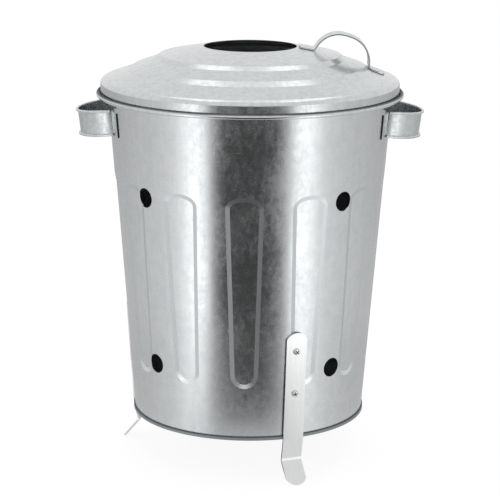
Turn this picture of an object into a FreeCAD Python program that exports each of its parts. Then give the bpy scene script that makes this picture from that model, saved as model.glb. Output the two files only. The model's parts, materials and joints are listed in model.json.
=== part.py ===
"""Small galvanised garden incinerator bin: fluted wall, folded base, strap legs, loop handles and loose lid.

Millimetres and degrees. +Z is up, the floor is z = 0 under the bin's axis and the front faces -Y.
A bearing is an angle about that axis: 0 at the front, 90 towards +X.
Heights on the bin count from its base edge.
"""

import FreeCAD
import Part

import math
import os

Vector = FreeCAD.Vector

# Wall
base_height = 52.0          # base edge above the floor
base_radius = 139.0         # outside of the wall at the base edge
rim_radius = 170.1          # outside of the wall at the rim
wall_height = 402.8         # base edge to where the rim starts to curl
sheet = 0.6                 # galvanised sheet of the wall and the base
lap_width = 8.0             # overlap of the wall's side seam, at the back
lap_margin = 9.0            # the overlap stops this far short of the hem and the rim

# Rolled rim
rim_bead = 5.0
wire_gap = 0.3              # between a bead's wire and the sheet rolled round it
curl_opening = 60.0         # angle left open where a rolled edge comes back to its sheet

# Flutes pressed into the wall
flute_count = 13
flute_bearing = -1.9        # first flute, nearly at the front
flute_bottom = 64.0
flute_drop = 109.3          # rim to the upper end of a flute
flute_foot_width = 32.4     # where the rounded lower end starts
flute_head_width = 44.0     # where the rounded upper end starts
flute_foot_rise = 16.5      # height of the rounded lower end
flute_head_rise = 14.0      # height of the rounded upper end
flute_border = 5.0          # width of the sloping border
flute_depth = 1.2

# Air holes, in two rows round the wall and one ring in the base
vent_diameter = 23.0
vent_count = 4
vent_bearing = 41.9
vent_low = 80.2
vent_drop = 121.4           # rim to the middle of the upper row
base_vent_count = 8
base_vent_ring = 85.0       # radius of the ring in the base

# Folded seam between the wall and the base
base_recess = 6.0           # base floor above the base edge
hem_height = 2.6            # height of the wall's folded hem
fold_gap = 0.3              # inside the wall's folded hem
seam_gap = 0.05             # between the two sheets of the seam

# Strap legs
leg_bearing = 21.8          # front leg
right_leg_turn = 120.0      # from the front leg round to the right leg
left_leg_turn = 122.8       # from the front leg round to the left leg
leg_width = 25.0
leg_thickness = 2.0
leg_top = 130.6
leg_top_rise = 8.0          # height of the rounded upper end
leg_tip_rise = 6.0          # height of the rounded foot tip
leg_knee_height = 24.0      # bend above the floor
leg_knee_inset = 5.4        # bend behind the base edge
foot_spread = 20.5          # foot tip in front of the bend
leg_bend = 4.0              # inside radius of the bends
leg_gap = 0.1               # between a leg and what it bears on

# Leg screws and nuts
screw_low = 56.5
screw_high = 108.0
screw_diameter = 4.0
screw_hole = 4.5
screw_head_diameter = 8.0
screw_head_height = 2.4
screw_head_chamfer = 1.3    # shoulder of the head
screw_overrun = 1.5         # beyond the nut
nut_flats = 7.0
nut_thickness = 3.2
nut_gap = 0.05              # between a nut and its screw
nut_seat = 0.15             # between a nut and the wall

# Side handles
handle_drop = 45.2          # rim to the middle of the strip where it leaves the wall
handle_strip = 31.5
handle_sheet = 0.8
handle_span = 96.0          # across the loop at the wall
handle_reach = 39.4         # outermost point from the wall
handle_droop = 7.0
handle_bead = 3.2
handle_bead_stop = 2.0      # the beads end this far short of the wall
handle_tab = 21.0           # welded tab at each end of the loop

# Lid
lid_sheet = 0.7
lid_seat = 0.3              # between the lid and the rim
flue_diameter = 110.2
crown_slope = 10.3
first_step_width = 5.9
first_step_drop = 4.6
band_width = 23.0           # between the two steps
second_step_width = 8.7
second_step_drop = 5.2
brim_width = 32.5           # second step to the outside of the skirt
brim_slope = 19.4           # of the band and the brim
step_bend = 3.0
shoulder_bend = 6.8
skirt_gap = 2.2             # between the rim and the skirt
skirt_depth = 16.5          # brim to the middle of the lid's bead
lid_bead = 5.8
lid_curl_opening = 95.0     # angle left open between the lid's rolled edge and the skirt

# Lid handle
grip_width = 28.0
grip_thickness = 2.0
grip_flue_margin = 2.4      # edge of the flue hole to the inner foot
grip_inner_foot = 18.8      # length of the foot on the crown
grip_step_margin = 5.9      # where the arch comes down to the end of the second step
grip_outer_foot = 13.6      # length of the foot on the brim
grip_rise = 27.4            # underside of the arch above its feet
grip_lean = 14.0            # lean of the arch's legs towards each other
grip_flat = 3.0             # shortest straight run on top of the arch
grip_bend = 3.0             # inside radius at the feet
grip_corner = 3.0           # rounded corners of the feet
grip_gap = 0.05             # between the feet and the lid

AXIS = Vector(0, 0, 1)
ORIGIN = Vector(0, 0, 0)
NUT_SIDES = 6
REACH = 2 * (base_height + wall_height)     # longer than anything that a cut has to pass through

taper = math.atan2(rim_radius - base_radius, wall_height)


# Helpers for profiles in the XZ plane

def at(radius, height):
    """Point of a profile: distance from the axis and height above the base edge."""
    return Vector(radius, 0, base_height + height)


def around(centre, radius, angle):
    """Point of the XZ plane on a circle."""
    turn = math.radians(angle)
    return centre + Vector(radius * math.cos(turn), 0, radius * math.sin(turn))


def line(start, end):
    return Part.LineSegment(start, end).toShape()


def arc(centre, radius, start, end):
    """Arc of the XZ plane between two angles."""
    middle = (start + end) / 2
    points = [around(centre, radius, angle) for angle in (start, middle, end)]
    return Part.Arc(*points).toShape()


def left_of(direction):
    return Vector(-direction.z, 0, direction.x)


def headings(points):
    return [(end - start).normalize() for start, end in zip(points, points[1:])]


def side_points(points, distance):
    """The points of the path that runs a distance to the left, with mitred corners."""
    ways = headings(points)
    moved = [points[0] + left_of(ways[0]) * distance]
    for corner, before, after in zip(points[1:], ways, ways[1:]):
        mitre = left_of(before) + left_of(after)
        moved.append(corner + mitre * (distance / (1 + before.dot(after))))
    moved.append(points[-1] + left_of(ways[-1]) * distance)
    return moved


def side_radii(points, radii, distance):
    """Bend radii of that path: smaller round a left turn, larger round a right turn."""
    ways = headings(points)
    turns = [left_of(before).dot(after) for before, after in zip(ways, ways[1:])]
    return [radius - math.copysign(distance, turn) for radius, turn in zip(radii, turns)]


def bent_path(points, radii):
    """Edges along the points, with each corner between them rounded to its radius."""
    ways = headings(points)
    edges = []
    start = points[0]
    for corner, before, after, radius in zip(points[1:], ways, ways[1:], radii):
        half_turn = before.getAngle(after) / 2
        reach = radius * math.tan(half_turn)
        inward = (after - before).normalize()
        middle = corner + inward * (radius / math.cos(half_turn) - radius)
        edges.append(line(start, corner - before * reach))
        start = corner + after * reach
        edges.append(Part.Arc(corner - before * reach, middle, start).toShape())
    edges.append(line(start, points[-1]))
    return edges


def joined(edges):
    return Part.Wire(Part.sortEdges(edges)[0])


def strap_outline(points, radii, thickness):
    """Outline of bent strap: one face runs along the points, the other lies to the left."""
    far_points = side_points(points, thickness)
    near = bent_path(points, radii)
    far = bent_path(far_points, side_radii(points, radii, thickness))
    ends = [line(points[0], far_points[0]), line(points[-1], far_points[-1])]
    return joined(near + far + ends)


def curl(centre, radius, thickness, start, end):
    """Rolled sheet edge: the inside, the cut end and the outside of the roll."""
    inside = arc(centre, radius - thickness, start, end)
    cut_end = line(around(centre, radius - thickness, end), around(centre, radius, end))
    outside = arc(centre, radius, start, end)
    return [inside, cut_end, outside]


def turned(edges):
    """Solid of a closed profile turned once round the axis."""
    return Part.Face(joined(edges)).revolve(ORIGIN, AXIS, 360)


def wire_ring(centre, bead, thickness):
    """Round wire that fills a rolled edge."""
    ring = Part.makeTorus(centre.x, bead / 2 - thickness - wire_gap)
    return ring.translated(Vector(0, 0, centre.z))


def at_bearing(shape, bearing):
    """Copy of a shape modelled over +X, turned to a bearing."""
    return shape.rotated(ORIGIN, AXIS, bearing - 90)


def wall_radius(height):
    """Outside of the wall at a height above the base edge."""
    return base_radius + height * math.tan(taper)


def spread(count, first):
    return [first + index * 360 / count for index in range(count)]


# Wall

flute_top = wall_height - flute_drop
vent_high = wall_height - vent_drop
flute_bearings = spread(flute_count, flute_bearing)
flute_pitch = 360 / flute_count
lap_bearing = flute_bearing + flute_pitch * (flute_count // 2 + 0.5)
beside_lap = lap_bearing + math.degrees(lap_width / base_radius)
hem_bottom = sheet + seam_gap
hem_top = hem_bottom + hem_height
hem_radius = wall_radius(hem_top) + fold_gap + sheet
rim_start = at(rim_radius - sheet, wall_height)
rim_sheet = sheet * math.cos(taper)
rim_centre = rim_start + Vector(math.cos(taper), 0, -math.sin(taper)) * (rim_bead / 2)
leg_bearings = {"front": leg_bearing, "right": leg_bearing + right_leg_turn, "left": leg_bearing - left_leg_turn}


def wall_face(sink, low, high):
    """Cone of the wall, a sink inside its outer face, with its seam line beside the lap at the back."""
    edge = line(at(wall_radius(low) - sink, low), at(wall_radius(high) - sink, high))
    return at_bearing(edge, beside_lap).revolve(ORIGIN, AXIS, 360)


def on_wall(bearing, offset, height, sink):
    """Point on the wall: an offset round from a bearing, a sink inside the outer face."""
    turn = math.radians(bearing) + offset / wall_radius(height)
    radius = wall_radius(height) - sink
    return Vector(radius * math.sin(turn), -radius * math.cos(turn), base_height + height)


def flute_outline(surface, bearing, inset, sink):
    """Tapered outline with rounded ends, drawn on a cone: upper end, side, lower end, side."""
    def spot(offset, height):
        return FreeCAD.Base.Vector2d(*surface.parameter(on_wall(bearing, offset, height, sink)))

    def rounded_end(half_width, start, tip):
        shape = Part.Geom2d.Ellipse2d(spot(0, tip), spot(half_width, start), spot(0, start))
        return Part.Geom2d.ArcOfEllipse2d(shape, -math.pi / 2, math.pi / 2)

    def side(way):
        return Part.Geom2d.Line2dSegment(spot(way * foot, low), spot(way * head, high))

    low = flute_bottom + flute_foot_rise
    high = flute_top - flute_head_rise
    foot = flute_foot_width / 2 - inset
    head = flute_head_width / 2 - inset
    curves = [rounded_end(head, high, flute_top - inset), side(1),
              rounded_end(foot, low, flute_bottom + inset), side(-1)]
    return [curve.toShape(surface) for curve in curves]


def flute_floor(surface, bearing, sink, outline):
    """The patch of a cone inside a flute's outline."""
    corners = [surface.parameter(on_wall(bearing, way * flute_head_width, height, sink))
               for way, height in ((-1, flute_bottom), (1, flute_top))]
    (left, low), (right, high) = corners
    patch = surface.toShape(left, right, low, high)
    pieces = patch.generalFuse([joined(outline)])[0].Faces
    return min(pieces, key=lambda piece: piece.Area)


def fluted_skin(sink, low, high):
    """One side of the wall: a cone with holes, and in each hole a sloping border and a sunk floor."""
    skin = wall_face(sink, low, high)
    floor_sink = sink + flute_depth
    floor = wall_face(floor_sink, low, high).Surface
    faces = []
    holes = []
    for bearing in flute_bearings:
        outer = flute_outline(skin.Surface, bearing, 0, sink)
        inner = flute_outline(floor, bearing, flute_border, floor_sink)
        holes.append(joined(outer))
        faces.append(flute_floor(floor, bearing, floor_sink, inner))
        faces.extend(Part.makeRuledSurface(start, end) for start, end in zip(outer, inner))
    skin.cutHoles(holes)
    skin.validate()
    return [skin] + faces


def vent_cutters():
    """Punches for the wall's air holes, square to the wall."""
    cutters = []
    for height in (vent_low, vent_high):
        across = Vector(math.cos(taper), 0, -math.sin(taper))
        start = at(wall_radius(height), height) - across * vent_diameter
        punch = Part.makeCylinder(vent_diameter / 2, 2 * vent_diameter, start, across)
        cutters.extend(at_bearing(punch, bearing) for bearing in spread(vent_count, vent_bearing))
    return cutters


def body_shell():
    """Fluted wall with a folded hem, a rolled rim, a lap seam, air holes and screw holes."""
    wall_start = hem_bottom + sheet
    outer_top = rim_centre - Vector(math.cos(taper), 0, -math.sin(taper)) * (rim_bead / 2 - rim_sheet)
    hem = [at(wall_radius(hem_bottom) - sheet, hem_bottom),
           at(hem_radius, hem_bottom),
           at(hem_radius, hem_top),
           at(hem_radius - sheet, hem_top),
           at(hem_radius - sheet, wall_start),
           at(wall_radius(wall_start), wall_start)]
    edges = [line(start, end) for start, end in zip(hem, hem[1:])]
    rim_edges = curl(rim_centre, rim_bead / 2, rim_sheet, 180 - math.degrees(taper), curl_opening - 180)
    faces = [at_bearing(edge, beside_lap).revolve(ORIGIN, AXIS, 360) for edge in edges + rim_edges]
    faces += fluted_skin(0, wall_start, outer_top.z - base_height)
    faces += fluted_skin(sheet, hem_bottom, wall_height)
    shell = Part.makeShell(faces)
    shell.sewShape()
    wall = Part.Solid(shell)
    if wall.Volume < 0:
        wall.reverse()
    cutters = vent_cutters()
    for bearing in leg_bearings.values():
        cutters.extend(at_bearing(hole, bearing) for hole in screw_hole_cutters())
    return wall.fuse(lap_seam()).cut(cutters)


def lap_seam():
    """Outer edge of the wall sheet where it overlaps itself at the back."""
    low = hem_top + lap_margin
    high = wall_height - lap_margin
    inside = -sheet / 2
    corners = [at(wall_radius(low) + inside, low), at(wall_radius(low) + sheet, low),
               at(wall_radius(high) + sheet, high), at(wall_radius(high) + inside, high)]
    width = math.degrees(lap_width / rim_radius)
    strip = Part.Face(Part.makePolygon(corners + corners[:1])).revolve(ORIGIN, AXIS, width)
    return at_bearing(strip, lap_bearing - width / 2)


# Base

def base_pan():
    """Base sheet: recessed floor, folded down inside the wall, under its hem and over it outside."""
    flange = wall_radius(hem_bottom) - sheet - seam_gap
    lip = hem_radius + seam_gap
    lip_top = hem_top + seam_gap
    lock = wall_radius(lip_top + sheet) + seam_gap
    points = [at(0, base_recess), at(0, base_recess + sheet), at(flange, base_recess + sheet),
              at(flange, sheet), at(lip, sheet), at(lip, lip_top), at(lock, lip_top),
              at(lock, lip_top + sheet), at(lip + sheet, lip_top + sheet), at(lip + sheet, 0),
              at(flange - sheet, 0), at(flange - sheet, base_recess)]
    pan = Part.Face(Part.makePolygon(points + points[:1])).revolve(ORIGIN, AXIS, 360)
    punch = Part.makeCylinder(vent_diameter / 2, 2 * vent_diameter, at(base_vent_ring, 0))
    return pan.cut([at_bearing(punch, bearing) for bearing in spread(base_vent_count, 0)])


# Legs: inner face from the top of the strap to the foot tip

base_edge_radius = hem_radius + seam_gap + sheet + leg_gap
leg_knee_radius = base_edge_radius - leg_knee_inset
leg_points = [at(wall_radius(leg_top) + leg_gap, leg_top),
              at(base_edge_radius, 0),
              Vector(leg_knee_radius, 0, leg_knee_height),
              Vector(leg_knee_radius + foot_spread, 0, 0)]
leg_slope = (leg_points[1] - leg_points[0]).normalize()
leg_out = left_of(leg_slope)


def leg_face(height):
    """Point on the middle of a leg's inner face, on its straight upper run."""
    start, end = leg_points[:2]
    share = (start.z - base_height - height) / (start.z - end.z)
    return start + (end - start) * share


def leg():
    """Bent strap with rounded ends and two screw holes, modelled over +X."""
    foot_way = (leg_points[3] - leg_points[2]).normalize()
    over_tip = leg_points[3] + foot_way * leg_thickness
    route = leg_points[:3] + [over_tip]
    radii = [leg_bend + leg_thickness, leg_bend + leg_thickness]
    outline = strap_outline(route, radii, leg_thickness)
    half = leg_width / 2
    strap = Part.Face(outline).extrude(Vector(0, leg_width, 0)).translated(Vector(0, -half, 0))
    top = base_height + leg_top
    side = [Vector(0, half, leg_tip_rise), Vector(0, half, top - leg_top_rise),
            Vector(0, -half, top - leg_top_rise), Vector(0, -half, leg_tip_rise)]
    front_edges = [line(side[0], side[1]), Part.Arc(side[1], Vector(0, 0, top), side[2]).toShape(),
                   line(side[2], side[3]), Part.Arc(side[3], ORIGIN, side[0]).toShape()]
    front = Part.Face(Part.Wire(front_edges)).extrude(Vector(REACH, 0, 0))
    return strap.common(front).cut(screw_hole_cutters())


def screw_hole_cutters():
    """Round cutters through a leg and the wall behind it, modelled over +X."""
    length = 2 * leg_width
    return [Part.makeCylinder(screw_hole / 2, length, leg_face(height) - leg_out * leg_width, leg_out)
            for height in (screw_low, screw_high)]


def flute_sink(bearing, height, reach):
    """Deepest sink of the flutes within a reach round from a point of the wall."""
    pitch_turn = (bearing - flute_bearing + flute_pitch / 2) % flute_pitch - flute_pitch / 2
    offset = abs(math.radians(pitch_turn)) * wall_radius(height) - reach
    share = (height - flute_bottom) / (flute_top - flute_bottom)
    half_width = (flute_foot_width + share * (flute_head_width - flute_foot_width)) / 2
    inside = min(half_width - offset, height + reach - flute_bottom, flute_top - height + reach)
    return flute_depth * min(max(inside / flute_border, 0), 1)


def nut_distance(bearing, height):
    """How far a nut lies inside the leg's inner face: behind the wall, clear of its curve and flutes."""
    corner = nut_flats / math.sqrt(3)
    behind = wall_radius(height) - sheet - flute_sink(bearing, height, corner)
    curve = behind - math.sqrt(behind ** 2 - corner ** 2)
    return leg_face(height).x - behind + curve + nut_seat


def screw(length):
    """Pan-head screw: seat of the head at the origin, shank towards -X."""
    head = screw_head_diameter / 2
    shank = screw_diameter / 2
    profile = [Vector(screw_head_height, 0, 0),
               Vector(screw_head_height, 0, head - screw_head_chamfer),
               Vector(screw_head_height - screw_head_chamfer, 0, head),
               Vector(0, 0, head), Vector(0, 0, shank), Vector(-length, 0, shank), Vector(-length, 0, 0)]
    return Part.Face(Part.makePolygon(profile + profile[:1])).revolve(ORIGIN, Vector(1, 0, 0), 360)


def nut():
    """Hexagon nut: its seat at the origin, its body towards -X."""
    corner = Vector(0, 0, nut_flats / math.sqrt(3))
    turns = [FreeCAD.Rotation(Vector(1, 0, 0), turn) for turn in spread(NUT_SIDES, 0)]
    points = [turn.multVec(corner) for turn in turns]
    block = Part.Face(Part.makePolygon(points + points[:1])).extrude(Vector(-nut_thickness, 0, 0))
    bore = Part.makeCylinder(screw_diameter / 2 + nut_gap, nut_thickness, ORIGIN, Vector(-1, 0, 0))
    return block.cut(bore)


def along_leg(shape, height, distance):
    """Copy of a fastener set square to a leg at a height, a distance out from the leg's inner face."""
    tilt = math.degrees(math.atan2(-leg_out.z, leg_out.x))
    upright = shape.rotated(ORIGIN, Vector(0, 1, 0), tilt)
    return upright.translated(leg_face(height) + leg_out * distance)


def leg_screws(bearing):
    screws = []
    for height in (screw_low, screw_high):
        length = leg_thickness + nut_distance(bearing, height) + nut_thickness + screw_overrun
        screws.append(along_leg(screw(length), height, leg_thickness))
    return at_bearing(Part.makeCompound(screws), bearing)


def leg_nuts(bearing):
    nuts = [along_leg(nut(), height, -nut_distance(bearing, height)) for height in (screw_low, screw_high)]
    return at_bearing(Part.makeCompound(nuts), bearing)


# Side handles

handle_height = wall_height - handle_drop


def side_handle():
    """Loop of sheet with rolled edges and two tabs that lie on the wall, modelled over +X."""
    wall = wall_radius(handle_height)
    half_span = handle_span / 2
    chord = math.sqrt(wall ** 2 - half_span ** 2)
    depth = wall + handle_reach - (handle_bead - handle_sheet) - chord
    loop_radius = (half_span ** 2 + depth ** 2) / (2 * depth)
    centre = Vector(chord + depth - loop_radius, 0, base_height + handle_height)
    at_wall = math.degrees(math.acos(1 - depth / loop_radius))
    past_wall = at_wall + math.degrees(2 * handle_bead / loop_radius)
    bead_turn = at_wall - math.degrees(handle_bead_stop / loop_radius)
    inside = loop_radius - handle_sheet
    half = handle_strip / 2
    bead = handle_bead / 2

    def swept(edges, turn):
        face = Part.Face(joined(edges)).translated(Vector(centre.x, 0, centre.z))
        start = face.rotated(centre, AXIS, -turn)
        return start.revolve(centre, AXIS, 2 * turn)

    def roll(way):
        middle = Vector(inside + bead, 0, way * (half - bead))
        edges = curl(middle, bead, handle_sheet, way * 180, way * (curl_opening - 180))
        return edges + [line(around(middle, bead - handle_sheet, 180), around(middle, bead, 180))]

    web = [Vector(inside, 0, bead - half), Vector(inside + handle_sheet, 0, bead - half),
           Vector(inside + handle_sheet, 0, half - bead), Vector(inside, 0, half - bead)]
    edges = [line(start, end) for start, end in zip(web, web[1:] + web[:1])]
    loop = swept(edges, past_wall).fuse([swept(roll(1), bead_turn), swept(roll(-1), bead_turn)])
    hinge = Vector(wall, 0, centre.z)
    loop = loop.rotated(hinge, Vector(0, 1, 0), handle_droop)
    low = handle_height - half
    high = handle_height + half
    room = handle_strip
    inside_wall = Part.makeCone(wall_radius(low - room) + seam_gap, wall_radius(high + room) + seam_gap,
                                high - low + 2 * room, Vector(0, 0, base_height + low - room))
    tab_start = math.degrees(math.asin((half_span - 2 * handle_sheet) / wall))
    tab_turn = math.degrees(handle_tab / wall)
    corners = [at(wall_radius(low + bead) + seam_gap, low + bead),
               at(wall_radius(low + bead) + seam_gap + handle_sheet, low + bead),
               at(wall_radius(high - bead) + seam_gap + handle_sheet, high - bead),
               at(wall_radius(high - bead) + seam_gap, high - bead)]
    plate = Part.Face(Part.makePolygon(corners + corners[:1])).revolve(ORIGIN, AXIS, tab_turn)
    tabs = [plate.rotated(ORIGIN, AXIS, tab_start), plate.rotated(ORIGIN, AXIS, -tab_start - tab_turn)]
    return loop.cut(inside_wall).fuse(tabs)


# Lid

brim = math.tan(math.radians(brim_slope))
seat_rise = (rim_bead / 2 + lid_seat + lid_sheet) / math.cos(math.radians(brim_slope))
skirt_radius = rim_centre.x + rim_bead / 2 + skirt_gap + lid_sheet
second_step_end = skirt_radius - brim_width
second_step_radius = second_step_end - second_step_width
first_step_end = second_step_radius - band_width
first_step_radius = first_step_end - first_step_width
brim_low = rim_centre.z + seat_rise - (second_step_end - rim_centre.x) * brim
brim_high = brim_low + second_step_drop
crown_low = brim_high + band_width * brim
crown_edge = crown_low + first_step_drop
crown_rise = math.tan(math.radians(crown_slope))
flue_height = crown_edge + (first_step_radius - flue_diameter / 2) * crown_rise
shoulder_height = brim_low - brim_width * brim
lid_bead_centre = Vector(skirt_radius - lid_sheet + lid_bead / 2, 0, shoulder_height - skirt_depth)


def lid_shell():
    """Stepped cone with a flue hole, a skirt over the rim and a rolled edge."""
    top = [Vector(flue_diameter / 2, 0, flue_height),
           Vector(first_step_radius, 0, crown_edge),
           Vector(first_step_end, 0, crown_low),
           Vector(second_step_radius, 0, brim_high),
           Vector(second_step_end, 0, brim_low),
           Vector(skirt_radius, 0, shoulder_height),
           Vector(skirt_radius, 0, lid_bead_centre.z)]
    radii = [step_bend] * 4 + [shoulder_bend]
    under = side_points(top, -lid_sheet)
    under[0] = Vector(flue_diameter / 2, 0, flue_height - lid_sheet / math.cos(math.radians(crown_slope)))
    edges = bent_path(top, radii) + bent_path(under, side_radii(top, radii, -lid_sheet))
    edges.append(line(top[0], under[0]))
    edges += curl(lid_bead_centre, lid_bead / 2, lid_sheet, 180, 540 - lid_curl_opening)
    return turned(edges)


def lid_handle():
    """Flat strap bent into an arch, its two feet lying on the lid, modelled over +X."""
    def crown_top(radius):
        return Vector(radius, 0, flue_height - (radius - flue_diameter / 2) * crown_rise + grip_gap)

    def step_top(radius):
        rise = (second_step_end - radius) * second_step_drop / second_step_width
        return Vector(radius, 0, brim_low + rise + grip_gap)

    def brim_top(radius):
        return Vector(radius, 0, brim_low - (radius - second_step_end) * brim + grip_gap)

    grip_start = flue_diameter / 2 + grip_flue_margin
    inner_leg = grip_start + grip_inner_foot
    grip_end = second_step_end + grip_outer_foot
    start = crown_top(inner_leg)
    end = step_top(second_step_end - grip_step_margin)
    along = (end - start).normalize()
    lean = math.radians(grip_lean)
    rise = left_of(along) * grip_rise
    inward = along * (grip_rise * math.tan(lean))
    route = [crown_top(grip_start), start, start + rise + inward,
             end + rise - inward, end, brim_top(second_step_end), brim_top(grip_end)]
    foot_bend = grip_bend + grip_thickness
    leg_run = grip_rise / math.cos(lean) - foot_bend
    top_run = (end - start).Length - 2 * inward.Length - grip_flat
    arch_bend = min(leg_run, top_run / 2) / math.tan((math.pi / 2 - lean) / 2)
    radii = [foot_bend, arch_bend, arch_bend, foot_bend, foot_bend]
    outline = strap_outline(route, radii, grip_thickness)
    half = grip_width / 2
    strap = Part.Face(outline).extrude(Vector(0, grip_width, 0)).translated(Vector(0, -half, 0))
    corner = grip_corner
    plan = [Vector(grip_start, half - corner, 0), Vector(grip_start + corner, half, 0),
            Vector(grip_end - corner, half, 0), Vector(grip_end, half - corner, 0),
            Vector(grip_end, corner - half, 0), Vector(grip_end - corner, -half, 0),
            Vector(grip_start + corner, -half, 0), Vector(grip_start, corner - half, 0)]
    trim = Part.Face(Part.makePolygon(plan + plan[:1])).extrude(Vector(0, 0, REACH))
    return strap.common(trim)


# Assembly

parts = {
    "body_shell": body_shell(),
    "rim_wire": at_bearing(wire_ring(rim_centre, rim_bead, rim_sheet), beside_lap),
    "base_pan": base_pan(),
    "left_handle": at_bearing(side_handle(), -90),
    "right_handle": at_bearing(side_handle(), 90),
    "lid_shell": lid_shell(),
    "lid_rim_wire": wire_ring(lid_bead_centre, lid_bead, lid_sheet),
    "lid_handle": lid_handle(),
}
for name, bearing in leg_bearings.items():
    parts[name + "_leg"] = at_bearing(leg(), bearing)
    parts[name + "_leg_screws"] = leg_screws(bearing)
    parts[name + "_leg_nuts"] = leg_nuts(bearing)

os.makedirs("parts", exist_ok=True)
for name, shape in parts.items():
    shape.exportStep(f"parts/{name}.step")
    print(f"{name}: {len(shape.Solids)} solid(s), {shape.Volume:.0f} mm3, valid {shape.isValid()}")
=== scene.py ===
# %% [markdown]
# # A small galvanised garden incinerator bin
# The construction comes packed from CAD: a fluted wall, a folded base, strap legs, loop handles and a
# loose lid, all in metres and in one frame. This lesson gives them their finish, adds the small forms
# that a press and a screwdriver leave on such a bin, and sets up a plain studio in which bright metal
# can be read.

# %% Load the frame
import json
import math

import bpy
import numpy as np
from mathutils import Matrix, Vector

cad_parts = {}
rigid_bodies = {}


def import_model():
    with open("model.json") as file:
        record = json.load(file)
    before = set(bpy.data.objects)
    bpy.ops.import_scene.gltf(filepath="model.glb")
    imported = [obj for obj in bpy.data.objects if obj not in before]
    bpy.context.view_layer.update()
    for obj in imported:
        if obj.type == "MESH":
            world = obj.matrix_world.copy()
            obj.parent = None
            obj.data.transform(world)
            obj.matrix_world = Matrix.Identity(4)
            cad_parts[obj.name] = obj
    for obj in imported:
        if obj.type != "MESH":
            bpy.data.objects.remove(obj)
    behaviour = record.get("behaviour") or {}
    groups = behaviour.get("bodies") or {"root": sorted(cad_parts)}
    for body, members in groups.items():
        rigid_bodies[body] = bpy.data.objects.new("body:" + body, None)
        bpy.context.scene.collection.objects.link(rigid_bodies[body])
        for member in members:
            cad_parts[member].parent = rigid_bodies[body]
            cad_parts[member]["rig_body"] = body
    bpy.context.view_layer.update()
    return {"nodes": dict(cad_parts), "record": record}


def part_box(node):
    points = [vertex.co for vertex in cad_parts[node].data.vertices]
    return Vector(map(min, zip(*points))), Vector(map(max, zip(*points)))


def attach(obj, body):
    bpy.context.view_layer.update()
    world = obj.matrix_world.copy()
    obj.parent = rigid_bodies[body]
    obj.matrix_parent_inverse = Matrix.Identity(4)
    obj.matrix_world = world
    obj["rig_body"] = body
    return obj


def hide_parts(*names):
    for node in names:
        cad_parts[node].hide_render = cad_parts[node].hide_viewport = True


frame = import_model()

MM = 0.001
nodes = frame["nodes"]

# %% [markdown]
# ## Camera
# The picture is taken with a long lens from a little above the lid, so the bin's sides hardly converge.
# A camera can be placed by eye, but here its place and tilt were solved from the outlines of the rim,
# the base, the flue hole and the wall, so that every edge falls where it should. A small roll is left
# in, because the bin stands a third of a degree askew in the picture.

# %% Camera
FRAME_PIXELS = 500
FOCAL_PIXELS = 1907.9
AXIS_OFFSET_PIXELS = 0.95
SENSOR_MM = 36.0
CAMERA_PLACE = (0, -2.2498, 0.7910)
CAMERA_DIP = 13.60
CAMERA_ROLL = 0.355
CAMERA_REACH = 50
camera_data = bpy.data.cameras.new("camera")
camera_data.sensor_width = SENSOR_MM
camera_data.lens = SENSOR_MM * FOCAL_PIXELS / FRAME_PIXELS
camera_data.shift_x = AXIS_OFFSET_PIXELS / FRAME_PIXELS
camera_data.clip_end = CAMERA_REACH
camera = bpy.data.objects.new("camera", camera_data)
bpy.context.scene.collection.objects.link(camera)
camera.location = CAMERA_PLACE
tilt = Matrix.Rotation(math.radians(90 - CAMERA_DIP), 3, "X")
roll = Matrix.Rotation(math.radians(CAMERA_ROLL), 3, "Z")
camera.rotation_euler = (tilt @ roll).to_euler()
bpy.context.scene.camera = camera
print("lens in mm:", round(camera_data.lens, 1))

# %% [markdown]
# ## Materials
# Every piece is zinc on steel, but made in two ways. Hot-dip sheet freezes into faint crystals with
# streaks where the zinc ran, so its gloss changes from patch to patch. The straps and screws are
# electroplated and come out bright and even. Metal shows its surroundings, so the patterns drive
# roughness and bump more than colour.

# %% Helpers for materials
def linear(code):
    """Linear colour with alpha from an sRGB hex code."""
    parts = [int(code[start:start + 2], 16) / 255 for start in (1, 3, 5)]
    curve = [part / 12.92 if part <= 0.04045 else ((part + 0.055) / 1.055) ** 2.4 for part in parts]
    return curve + [1.0]


def add_node(tree, kind, values=None, links=None, **settings):
    """Add a node: settings are its own options, values go to its sockets, links come from other nodes."""
    made = tree.nodes.new(kind)
    for name, value in settings.items():
        setattr(made, name, value)
    for socket, value in (values or {}).items():
        made.inputs[socket].default_value = value
    for socket, source in (links or {}).items():
        tree.links.new(source, made.inputs[socket])
    return made


def new_material(name):
    """Material with an empty node tree."""
    material = bpy.data.materials.new(name)
    material.use_nodes = True
    material.node_tree.nodes.clear()
    return material


def per_metre(size_mm):
    """Texture scale that gives a pattern of that size."""
    return 1 / (size_mm * MM)


print("mid grey in linear light:", round(linear("#808080")[0], 3))

# %% [markdown]
# ## Hot-dip galvanised sheet
# The wall, the base, the lid and the handles are cut from coil that ran through molten zinc. The skin
# is mottled: faint clouds and upright streaks, some glossier than others. One could paint this as
# colour, but on the real sheet it shows most where something dark is mirrored, so here it changes the
# roughness, with a trace in the colour. Shallow dents bend the mirror image a little, as thin sheet does.

# %% Galvanised sheet
STREAK_STRETCH = (1, 1, 0.07)       # upright, fourteen times as long as wide
STREAK_SHARE = 0.35                 # the rest of the pattern is clouds
PATCH_START = 0.38
PATCH_FULL = 0.64
DENT_DEPTH = 0.6 * MM
DENT_STRENGTH = 0.25


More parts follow.
